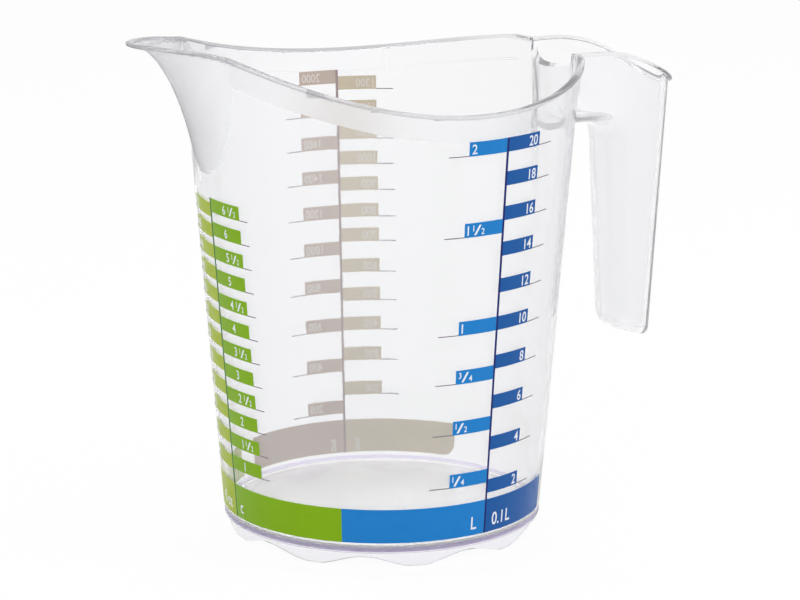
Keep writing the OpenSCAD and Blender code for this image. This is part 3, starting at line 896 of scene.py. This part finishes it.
def seen_rays(tree):
    """1 for rays of the camera, of mirrors and through clear plastic, 0 for all other light."""
    path = node(tree, "ShaderNodeLightPath")
    seen = calc(tree, "MAXIMUM", path.outputs["Is Camera Ray"], path.outputs["Is Glossy Ray"])
    return calc(tree, "MAXIMUM", seen, path.outputs["Is Transmission Ray"])


def studio_floor():
    """Round floor as a polar grid, white to what sees it, with the jug's soft shadow kept."""
    steps, z = 96, -0.2
    a = np.linspace(0, 2 * math.pi, steps, endpoint=False)
    r = np.array([20, 200, 600, 1500, 4000])[:, None]
    points = np.stack([r * np.cos(a), r * np.sin(a), np.full((len(r), steps), z)], -1)
    faces = [list(f) for f in grid_faces(len(r), steps, False, True)] + [list(range(steps))[::-1]]
    obj = mesh_object("studio_floor", points.reshape(-1, 3), faces, 0)
    if obj.data.polygons[0].normal.z < 0:
        obj.data.flip_normals()
    made = bpy.data.materials.new("studio paper")
    made.use_nodes = True
    tree = made.node_tree
    tree.nodes.clear()
    paper = node(tree, "ShaderNodeBsdfDiffuse", Color=(0.9, 0.9, 0.9, 1))
    glow = node(tree, "ShaderNodeEmission", Color=(1, 1, 1, 1), Strength=1.0)
    share = calc(tree, "MULTIPLY", seen_rays(tree), 0.9)
    out = node(tree, "ShaderNodeOutputMaterial")
    tree.links.new(shader_mix(tree, share, paper.outputs[0], glow.outputs[0]),
                   out.inputs["Surface"])
    obj.data.materials.append(made)


def studio_world():
    """White all round and a little above the horizon, dimmer overhead; an even grey as a lamp."""
    world = bpy.data.worlds.new("studio")
    bpy.context.scene.world = world
    world.use_nodes = True
    tree = world.node_tree
    tree.nodes.clear()
    place = node(tree, "ShaderNodeTexCoord")
    parts = node(tree, "ShaderNodeSeparateXYZ")
    tree.links.new(place.outputs["Generated"], parts.inputs[0])
    ramp = node(tree, "ShaderNodeValToRGB")
    stops = [(0.0, 1.0), (0.3, 1.0), (0.6, 0.62), (1.0, 0.5)]
    while len(ramp.color_ramp.elements) < len(stops):
        ramp.color_ramp.elements.new(0.5)
    for element, (at, grey) in zip(ramp.color_ramp.elements, stops):
        element.position, element.color = at, (grey, grey, grey, 1)
    tree.links.new(parts.outputs["Z"], ramp.inputs["Fac"])
    white = (1, 1, 1, 1)
    room, lamp, backdrop = (node(tree, "ShaderNodeBackground", Color=white, Strength=strength)
                            for strength in (1.0, 0.55, 1.0))
    tree.links.new(ramp.outputs["Color"], room.inputs["Color"])
    path = node(tree, "ShaderNodeLightPath")
    around = shader_mix(tree, seen_rays(tree), lamp.outputs[0], room.outputs[0])
    all_rays = shader_mix(tree, path.outputs["Is Camera Ray"], around, backdrop.outputs[0])
    out = node(tree, "ShaderNodeOutputWorld")
    tree.links.new(all_rays, out.inputs["Surface"])


def soft_lamp(name, place, aim, size, power):
    """Square lamp that faces a point of the jug."""
    lamp = bpy.data.lights.new(name, "AREA")
    lamp.shape, lamp.size, lamp.size_y, lamp.energy = "RECTANGLE", size[0], size[1], power
    obj = bpy.data.objects.new(name, lamp)
    bpy.context.scene.collection.objects.link(obj)
    obj.location = place
    obj.rotation_euler = (Vector(aim) - Vector(place)).to_track_quat("-Z", "Y").to_euler()


def photo_camera():
    """Camera from the fit to the photograph: a long lens, a little above the rim, looking down."""
    place, lens_mm, sensor_mm = (-0.5511, -1.2607, 0.43315), 166.33, 36
    heading, down, roll = math.radians(-23.59), math.radians(14.11), 0.0015
    data = bpy.data.cameras.new("photo_camera")
    data.lens, data.sensor_width = lens_mm, sensor_mm
    obj = bpy.data.objects.new("photo_camera", data)
    bpy.context.scene.collection.objects.link(obj)
    turn = (Matrix.Rotation(heading, 3, "Z") @ Matrix.Rotation(math.pi / 2 - down, 3, "X")
            @ Matrix.Rotation(roll, 3, "Z"))
    obj.matrix_world = Matrix.Translation(place) @ turn.to_4x4()
    bpy.context.scene.camera = obj


# Assembly

shell = moulding()
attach(shell, "root")
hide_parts("jug_shell")
shell.data.materials.clear()
shell.data.materials.append(CLEAR)

CUPS = [CUP_LOW + CUP_STEP * k for k in range(12)]
CUP_LABELS = [str(k // 2) + " 1/2" * (k % 2) for k in range(2, 14)]
LITRES = (0.25, 0.5, 0.75, 1, 1.53, 2)
DECILITRES, OUNCES, SUGAR = range(2, 21, 2), range(8, 53, 4), range(200, 2001, 200)
FLOUR = [190, 300, 400, 500, 600, 710, 800, 900, 1000, 1100, 1200, 1300]

scale_print("litre_scale", "litre_scale_print", MEASURE_LINE, -1, False, 52.7,
            (MEASURE_BAR, MEASURE_TICK), fill_heights(LITRES, 2),
            ["1/4", "1/2", "3/4", "1", "1 1/2", "2"], (0.93, 0, 3.8, 0.9), ("L", 4, 1))
scale_print("decilitre_scale", "decilitre_scale_print", MEASURE_LINE, 1, True,
            36.6, (MEASURE_BAR, MEASURE_TICK), fill_heights(DECILITRES, 20),
            map(str, DECILITRES), (0.93, 1, 4.0, 0.9), ("0.1 L", 3.5, 0))
scale_print("cup_scale", "cup_scale_print", CUP_LINE, 1, True, 49.7,
            (CUP_BAR, CUP_TICK), CUPS, CUP_LABELS, (0.47, 0, 3.6, 0.85), ("c", 3.5, 0))
scale_print("ounce_scale", "ounce_scale_print", CUP_LINE, -1, False, 49.3,
            (CUP_BAR, CUP_TICK), fill_heights(OUNCES, 67.63), map(str, OUNCES),
            (0.93, 0, 3.8, 0.9), ("fl oz", 4, 1))
scale_print("sugar_scale", "sugar_scale_print", BAKING_LINE, 1, True, 43,
            (BAKING_BAR, BAKING_TICK), fill_heights(SUGAR, 1985), map(str, SUGAR),
            (0.93, 1, 3.4, 0.85), ("g", 3.5, 0))
scale_print("flour_scale", "flour_scale_print", BAKING_LINE, -1, False, 43,
            (BAKING_BAR, BAKING_TICK), fill_heights(FLOUR, 1317),
            map(str, range(200, 1301, 100)), (0.93, 0, 3.4, 0.85), ("g", 4, 1), (5, 0))

studio_floor()
studio_world()
soft_lamp("key_lamp", (-1.1, -1.2, 1.5), (0, 0, 0.1), (1.2, 1.2), 16)
soft_lamp("fill_lamp", (1.4, -0.9, 0.9), (0, 0, 0.1), (1.0, 1.2), 10)
soft_lamp("top_lamp", (0.1, 0.6, 1.9), (0, 0, 0.1), (1.6, 1.2), 12)
photo_camera()
bpy.context.scene.view_settings.view_transform = "Standard"
